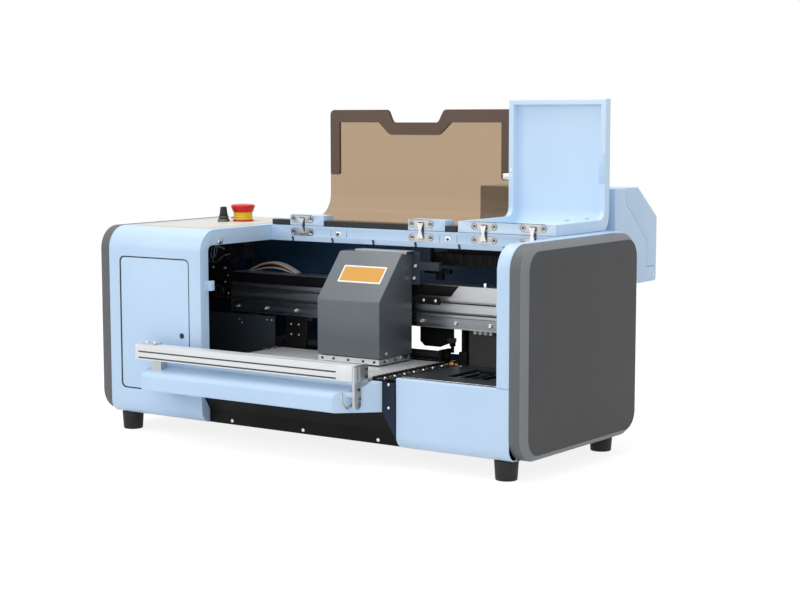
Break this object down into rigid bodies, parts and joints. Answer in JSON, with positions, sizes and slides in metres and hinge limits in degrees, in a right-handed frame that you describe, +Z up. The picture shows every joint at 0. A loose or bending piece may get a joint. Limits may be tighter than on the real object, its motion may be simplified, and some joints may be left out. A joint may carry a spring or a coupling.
{
  "type": "direct to film printer",
  "caption": "Desktop film printer with a low wide case, moving print carriage on a beam, flat platen, front tray, two hinged lids standing open and a rear ink box.",
  "frame": {"origin": "on the floor, under the middle of the overall width and depth", "axes": "+X to the printer's right as seen from its front, +Y to the rear, +Z up"},
  "size_m": [0.78, 0.532, 0.5115],
  "materials": {
    "blue_paint": "satin light blue powder coat",
    "dark_paint": "satin black powder coat",
    "grey_plate": "satin grey powder coat",
    "side_plastic": "satin moulded plastic",
    "panel_film": "matt beige grey film",
    "yellow_plastic": "gloss",
    "red_plastic": "gloss",
    "black_plastic": "satin",
    "smoked_acrylic": "clear bronze acrylic",
    "bright_steel": "bright",
    "aluminium": "satin anodised",
    "rubber": "matt",
    "motor_steel": "satin",
    "board": "satin",
    "carriage_grey": "satin",
    "cable_white": "satin",
    "bottle": "translucent"
  },
  "bodies": {
    "case": {"left_side_panel": "side_plastic", "right_side_panel": "side_plastic", "left_casing": "blue_paint", "access_panel": "blue_paint", "control_panel": "panel_film", "stop_switch_body": "yellow_plastic", "right_pillar": "blue_paint", "right_low_casing": "blue_paint", "base_pan": "dark_paint", "feet": "rubber", "rear_panel": "blue_paint", "power_inlet": "black_plastic", "top_deck": "blue_paint", "hinge_beam": "blue_paint", "hinge_bases": "bright_steel", "catches": "bright_steel", "front_apron": "dark_paint", "apron_strip": "dark_paint", "front_tray": "blue_paint", "guide_bar": "aluminium", "bar_brackets": "blue_paint", "platen": "dark_paint", "platen_rails": "dark_paint", "beam": "aluminium", "guide_rail": "bright_steel", "beam_supports": "dark_paint", "carriage_motor": "motor_steel", "drive_belt": "rubber", "roller_brackets": "aluminium", "feed_motor": "motor_steel", "left_guard": "grey_plate", "service_deck": "grey_plate", "service_box": "dark_paint", "power_supply": "bright_steel", "mainboard": "board", "flat_cable": "cable_white", "cable_chain": "black_plastic", "ink_box": "blue_paint", "ink_tanks": "bottle"},
    "cover": {"smoked_cover": "smoked_acrylic", "cover_rail": "black_plastic", "cover_blocks": "blue_paint", "cover_leaves": "bright_steel"},
    "cover_link": {"cover_links": "bright_steel"},
    "lid": {"side_lid": "blue_paint", "lid_leaves": "bright_steel"},
    "lid_link": {"lid_links": "bright_steel"},
    "carriage": {"carriage_cover": "carriage_grey", "carriage_plate": "dark_paint", "head_plate": "bright_steel", "print_heads": "black_plastic"},
    "drive_pulley": {"drive_pulley": "aluminium"},
    "idle_pulley": {"idle_pulley": "aluminium"},
    "feed_roller": {"feed_roller": "bright_steel"},
    "pinch_roller": {"pinch_roller": "rubber"},
    "capping_unit": {"capping_unit": "black_plastic"},
    "stop_switch_head": {"stop_switch_head": "red_plastic"},
    "selector_knob": {"selector_knob": "black_plastic"},
    "ink_box_lid": {"ink_box_lid": "blue_paint"},
    "bar_hook": {"bar_hook": "bright_steel"}
  },
  "joints": [
    {"name": "cover_hinge", "type": "hinge", "parent": "case", "child": "cover", "pos_m": [0, -0.0365, 0.32025], "axis": [1, 0, 0], "range_deg": [0, 180]},
    {"name": "cover_link_fold", "type": "hinge", "parent": "case", "child": "cover_link", "pos_m": [0, -0.0365, 0.32025], "axis": [1, 0, 0], "range_deg": [0, 90.5]},
    {"name": "side_lid_hinge", "type": "hinge", "parent": "case", "child": "lid", "pos_m": [0, -0.0365, 0.32025], "axis": [1, 0, 0], "range_deg": [0, 180]},
    {"name": "side_lid_link_fold", "type": "hinge", "parent": "case", "child": "lid_link", "pos_m": [0, -0.0365, 0.32025], "axis": [1, 0, 0], "range_deg": [0, 90.5]},
    {"name": "carriage_slide", "type": "slide", "parent": "case", "child": "carriage", "axis": [1, 0, 0], "range_m": [-0.148, 0.215]},
    {"name": "drive_pulley_spin", "type": "hinge", "parent": "case", "child": "drive_pulley", "pos_m": [-0.298, -0.027, 0.207], "axis": [0, 1, 0], "range_deg": [-1060, 1540]},
    {"name": "idle_pulley_spin", "type": "hinge", "parent": "case", "child": "idle_pulley", "pos_m": [0.338, -0.027, 0.207], "axis": [0, 1, 0], "range_deg": [-1060, 1540]},
    {"name": "feed_roller_spin", "type": "hinge", "parent": "case", "child": "feed_roller", "pos_m": [0, -0.01, 0.1177], "axis": [1, 0, 0], "continuous": true},
    {"name": "pinch_roller_spin", "type": "hinge", "parent": "case", "child": "pinch_roller", "pos_m": [0, -0.01, 0.133], "axis": [1, 0, 0], "continuous": true},
    {"name": "capping_lift", "type": "slide", "parent": "case", "child": "capping_unit", "axis": [0, 0, 1], "range_m": [0, 0.006]},
    {"name": "stop_switch_press", "type": "slide", "parent": "case", "child": "stop_switch_head", "axis": [0, 0, -1], "range_m": [0, 0.0035], "stiffness_N_per_m": 800, "springref_m": -0.002},
    {"name": "selector_turn", "type": "hinge", "parent": "case", "child": "selector_knob", "pos_m": [-0.281, -0.029, 0.33], "axis": [0, 0, -1], "range_deg": [0, 90]},
    {"name": "ink_box_lid_hinge", "type": "hinge", "parent": "case", "child": "ink_box_lid", "pos_m": [0.2185, 0.1683, 0.38], "axis": [1, 0, 0], "range_deg": [0, 100]},
    {"name": "hook_swing", "type": "hinge", "parent": "case", "child": "bar_hook", "pos_m": [0.13, -0.238, 0.091], "axis": [1, 0, 0], "range_deg": [0, 60]}
  ],
  "couplings": [
    {"joint": "cover_link_fold", "follows": "cover_hinge", "ratio": 0.5},
    {"joint": "side_lid_link_fold", "follows": "side_lid_hinge", "ratio": 0.5},
    {"joint": "drive_pulley_spin", "follows": "carriage_slide", "rad_per_m": 123.46},
    {"joint": "idle_pulley_spin", "follows": "carriage_slide", "rad_per_m": 123.46},
    {"joint": "pinch_roller_spin", "follows": "feed_roller_spin", "ratio": -1.1429}
  ]
}
